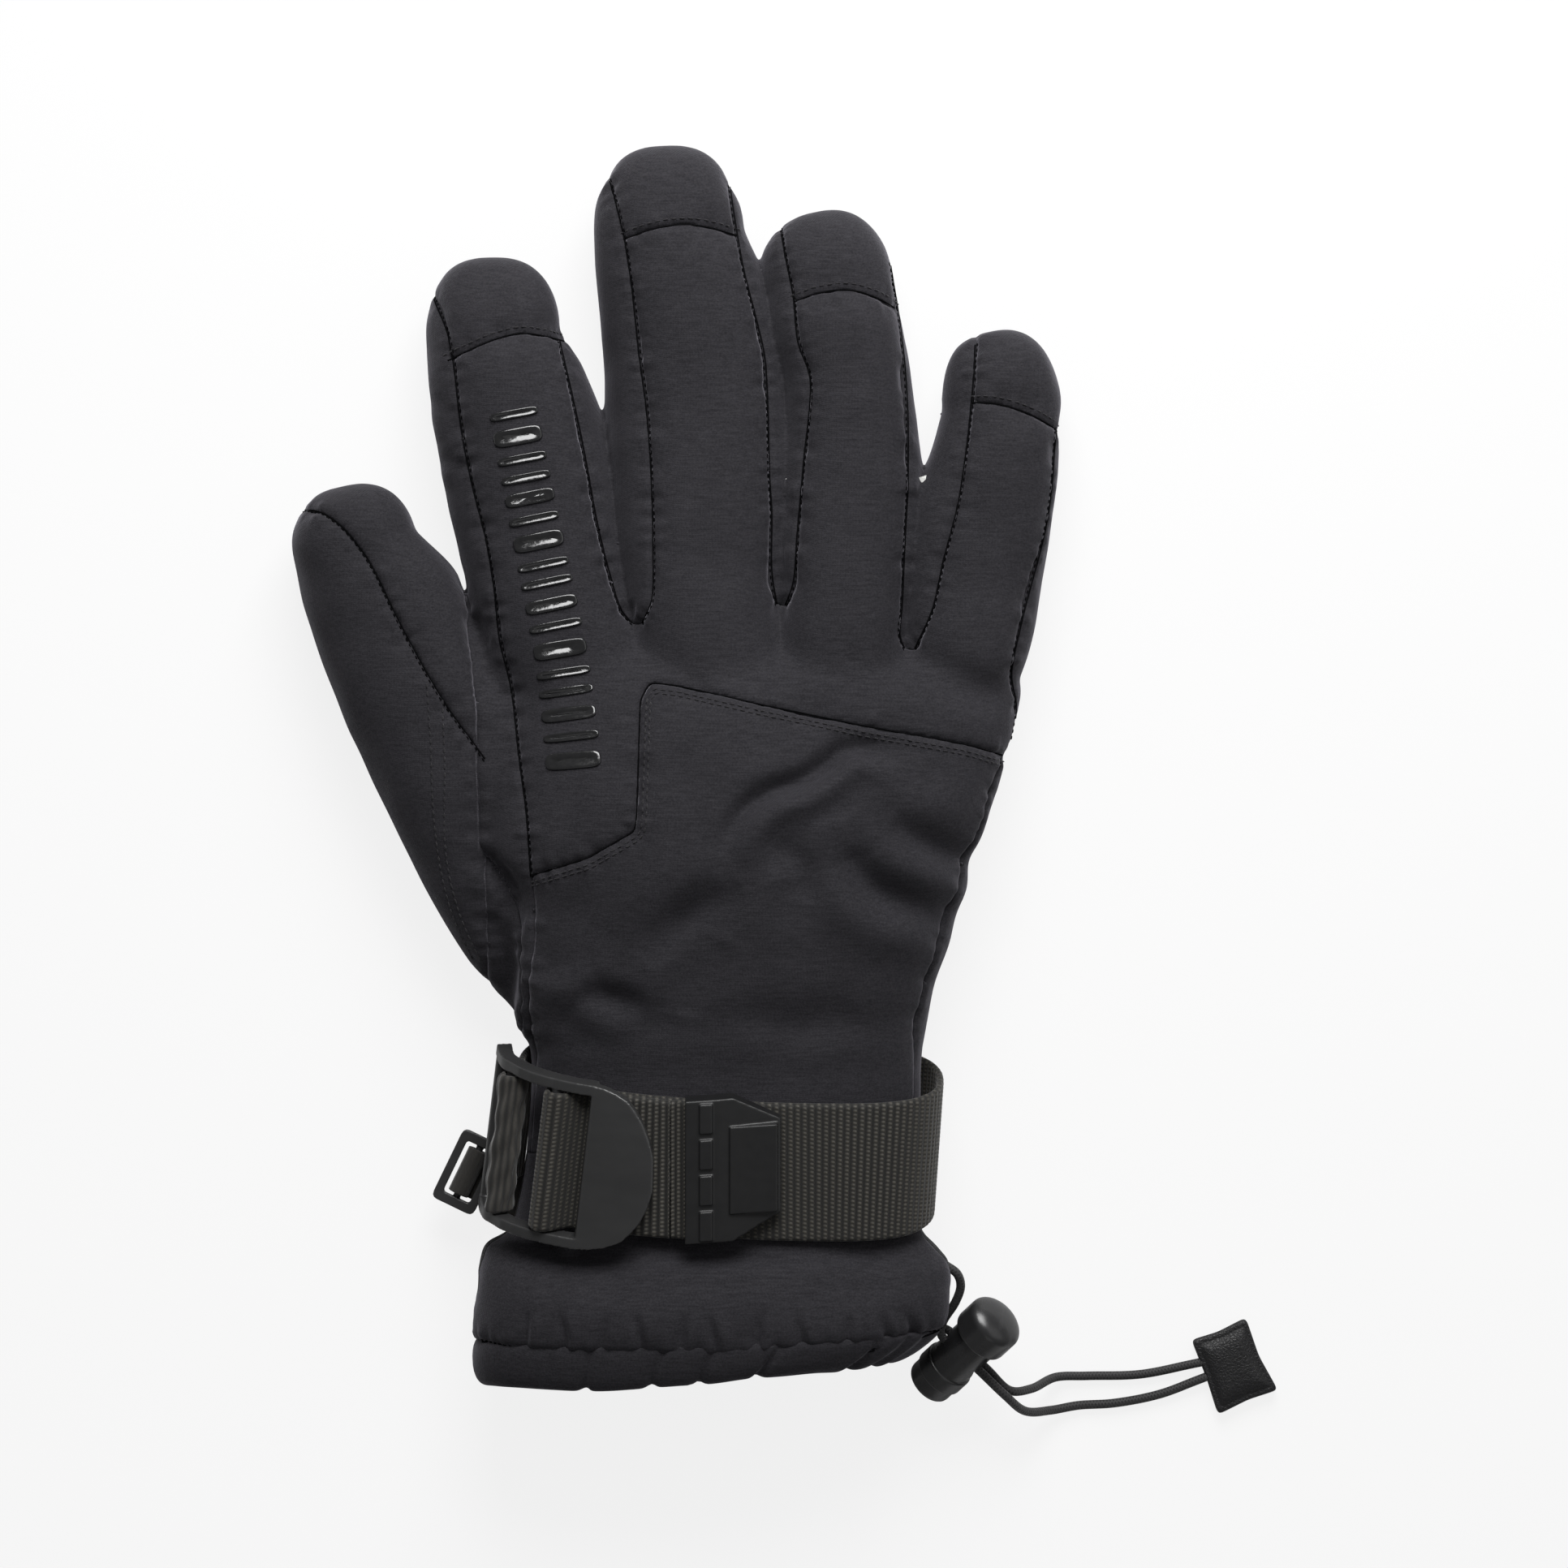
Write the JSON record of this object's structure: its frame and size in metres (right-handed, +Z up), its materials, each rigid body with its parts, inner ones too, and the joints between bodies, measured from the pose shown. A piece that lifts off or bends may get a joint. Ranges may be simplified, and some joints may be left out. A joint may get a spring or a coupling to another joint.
{
  "type": "ski glove",
  "caption": "Padded ski glove for the right hand with gauntlet cuff, wrist strap with ladder-lock buckle, and cuff drawcord with cord lock and pull tab.",
  "frame": {"origin": "on the table, under the centre of the glove without its free cord", "axes": "+X to the little finger, +Y to the fingertips, +Z up through the back of the hand"},
  "size_m": [0.218, 0.2838, 0.043],
  "materials": {
    "shell_fabric": "matt woven softshell, dark charcoal",
    "palm_leather": "grained synthetic leather, black",
    "lining_knit": "brushed knit, black",
    "wadding": "fibre wadding, off-white",
    "strap_webbing": "ribbed polyester webbing, brown-black",
    "buckle_plastic": "moulded acetal, satin black",
    "lock_plastic": "moulded nylon, semi-gloss black",
    "spring_steel": "plain steel wire",
    "elastic_cord": "braided sheath over rubber, black",
    "tab_leather": "pressed synthetic leather, black"
  },
  "bodies": {
    "glove": {"index_tip_cap": "palm_leather", "middle_tip_cap": "palm_leather", "ring_tip_cap": "palm_leather", "little_tip_cap": "palm_leather", "thumb_palm_panel": "palm_leather", "thumb_outer_panel": "shell_fabric", "thumb_back_panel": "shell_fabric", "palm_panel": "palm_leather", "palm_patch": "palm_leather", "back_finger_panel": "shell_fabric", "back_hand_panel": "shell_fabric", "index_side_panel": "shell_fabric", "index_middle_fourchette": "shell_fabric", "middle_ring_fourchette": "shell_fabric", "ring_little_fourchette": "shell_fabric", "little_side_panel": "shell_fabric", "insulation": "wadding", "lining": "lining_knit", "cord_strand_upper": "elastic_cord", "cord_strand_lower": "elastic_cord", "hem_tunnel": "shell_fabric", "hem_drawcord": "elastic_cord", "cuff_back_panel": "shell_fabric", "cuff_palm_panel": "palm_leather", "anchor_webbing": "strap_webbing", "strap_standing": "strap_webbing", "side_slider_webbing": "strap_webbing", "pull_tab_back": "tab_leather", "pull_tab_front": "tab_leather"},
    "buckle": {"buckle_frame": "buckle_plastic", "strap_loop": "strap_webbing"},
    "strap_tail": {"strap_free_end": "strap_webbing", "strap_end_tab": "buckle_plastic"},
    "side_slider": {"side_slider": "buckle_plastic"},
    "cord_lock": {"cord_lock_barrel": "lock_plastic", "cord_lock_spring": "spring_steel"},
    "lock_plunger": {"cord_lock_plunger": "lock_plastic"}
  },
  "joints": [
    {"name": "buckle_tilt", "type": "hinge", "parent": "glove", "child": "buckle", "pos_m": [-0.03767, -0.0853, 0.02652], "axis": [0, -1, 0], "range_deg": [0, 18]},
    {"name": "strap_tail_lift", "type": "hinge", "parent": "buckle", "child": "strap_tail", "pos_m": [-0.00128, -0.0899, 0.03755], "axis": [0, -1, 0], "range_deg": [0, 75]},
    {"name": "side_slider_swing", "type": "hinge", "parent": "glove", "child": "side_slider", "pos_m": [-0.04646, -0.08999, 0.0086], "axis": [-0.4352, -0.9003, 0], "range_deg": [0, 35]},
    {"name": "cordlock_slide", "type": "slide", "parent": "glove", "child": "cord_lock", "axis": [0.723, -0.6909, 0], "range_m": [0, 0.006]},
    {"name": "cordlock_press", "type": "slide", "parent": "cord_lock", "child": "lock_plunger", "axis": [-0.584, -0.6111, -0.5344], "range_m": [0, 0.0026], "stiffness_N_per_m": 600, "springref_m": -0.004, "deforming": ["cord_lock_spring"]}
  ]
}
